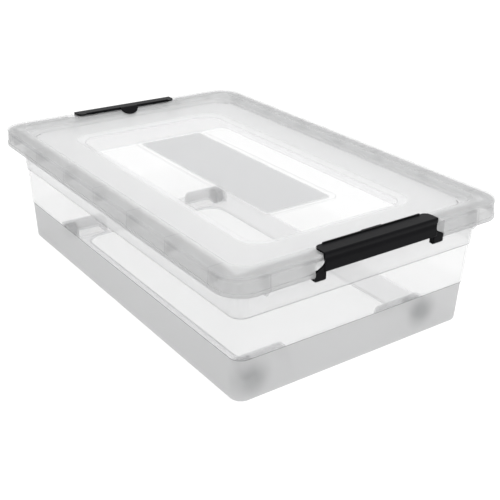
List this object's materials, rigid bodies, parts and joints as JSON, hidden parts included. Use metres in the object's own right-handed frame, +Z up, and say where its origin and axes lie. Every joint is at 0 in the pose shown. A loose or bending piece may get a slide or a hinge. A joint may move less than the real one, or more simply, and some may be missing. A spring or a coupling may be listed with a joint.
{
  "type": "under bed box",
  "caption": "Wide shallow translucent storage box on small floor wheels, with a recessed drop-in lid held shut by swing clips at its short ends.",
  "frame": {"origin": "on the floor, under the middle of the box", "axes": "+X along the box's length towards the right-hand clip, +Y across its width towards the back, +Z up"},
  "size_m": [0.6, 0.4, 0.174],
  "materials": {
    "frosted_tub": "translucent polypropylene: clear middle band, lightly frosted top band, more frosted bottom band",
    "frosted_lid": "translucent polypropylene: frosted tray around a clear window with a frosted label field",
    "black_clip": "black satin plastic",
    "wheel_plastic": "mid grey plastic",
    "axle_plastic": "grey plastic pin"
  },
  "bodies": {
    "base": {"tub": "frosted_tub", "axle_front_right": "axle_plastic", "axle_back_right": "axle_plastic", "axle_front_left": "axle_plastic", "axle_back_left": "axle_plastic"},
    "cover": {"lid": "frosted_lid"},
    "clip_right": {"right_clip": "black_clip"},
    "clip_left": {"left_clip": "black_clip"},
    "roller_front_right": {"wheel_front_right": "wheel_plastic"},
    "roller_back_right": {"wheel_back_right": "wheel_plastic"},
    "roller_front_left": {"wheel_front_left": "wheel_plastic"},
    "roller_back_left": {"wheel_back_left": "wheel_plastic"}
  },
  "joints": [
    {"name": "lid_lift", "type": "slide", "parent": "base", "child": "cover", "axis": [0, 0, 1], "range_m": [0, 0.0104]},
    {"name": "right_clip_swing", "type": "hinge", "parent": "base", "child": "clip_right", "pos_m": [0.295, 0, 0.1485], "axis": [0, 1, 0], "range_deg": [0, 130]},
    {"name": "left_clip_swing", "type": "hinge", "parent": "base", "child": "clip_left", "pos_m": [-0.295, 0, 0.1485], "axis": [0, -1, 0], "range_deg": [0, 130]},
    {"name": "wheel_front_right_spin", "type": "hinge", "parent": "base", "child": "roller_front_right", "pos_m": [0.23, -0.132, 0.012], "axis": [0, 1, 0], "continuous": true},
    {"name": "wheel_back_right_spin", "type": "hinge", "parent": "base", "child": "roller_back_right", "pos_m": [0.23, 0.132, 0.012], "axis": [0, 1, 0], "continuous": true},
    {"name": "wheel_front_left_spin", "type": "hinge", "parent": "base", "child": "roller_front_left", "pos_m": [-0.23, -0.132, 0.012], "axis": [0, 1, 0], "continuous": true},
    {"name": "wheel_back_left_spin", "type": "hinge", "parent": "base", "child": "roller_back_left", "pos_m": [-0.23, 0.132, 0.012], "axis": [0, 1, 0], "continuous": true}
  ],
  "couplings": [
    {"joint": "right_clip_swing", "follows": "lid_lift", "rad_per_m": 218.1},
    {"joint": "left_clip_swing", "follows": "lid_lift", "rad_per_m": 218.1}
  ]
}
